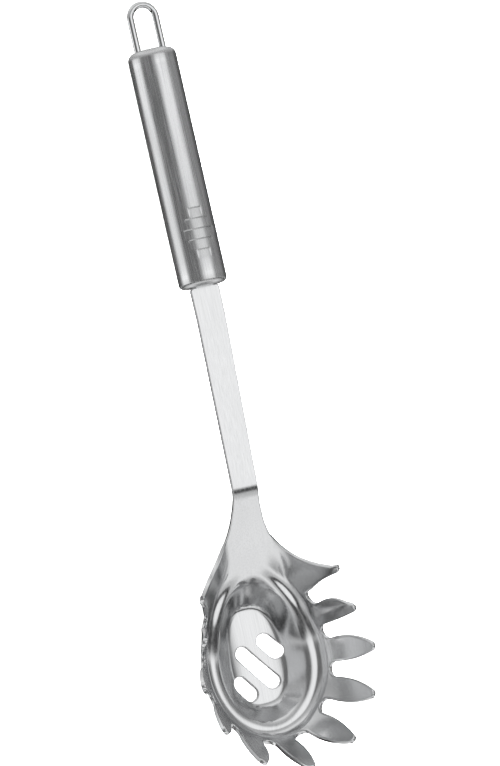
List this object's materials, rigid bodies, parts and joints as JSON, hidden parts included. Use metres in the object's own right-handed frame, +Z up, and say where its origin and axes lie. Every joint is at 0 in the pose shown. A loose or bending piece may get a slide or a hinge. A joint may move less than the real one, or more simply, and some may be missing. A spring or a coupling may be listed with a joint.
{
  "type": "pasta server",
  "caption": "Steel spaghetti server: slotted bowl ringed with upright tines on a folded flat strap, round ribbed handle with a wire hanging loop.",
  "frame": {"origin": "middle of the bounding box, on the surface that the server lies on", "axes": "+Y along the server from the bowl to the hanging loop, +Z up out of the open bowl, +X across"},
  "size_m": [0.0804, 0.3272, 0.0524],
  "materials": {
    "polished_steel": "polished",
    "satin_steel": "satin, brushed along the handle",
    "bright_wire": "bright drawn",
    "weld_bead": "as welded"
  },
  "bodies": {
    "root": {"server_head": "polished_steel", "handle_tube": "satin_steel", "strap_end_cap": "satin_steel", "loop_end_cap": "satin_steel", "strap_cap_seam_weld": "satin_steel", "loop_cap_seam_weld": "satin_steel", "hanging_loop": "bright_wire", "tang_weld_front": "weld_bead", "tang_weld_back": "weld_bead", "loop_leg_weld_left": "weld_bead", "loop_leg_weld_right": "weld_bead"}
  },
  "joints": []
}
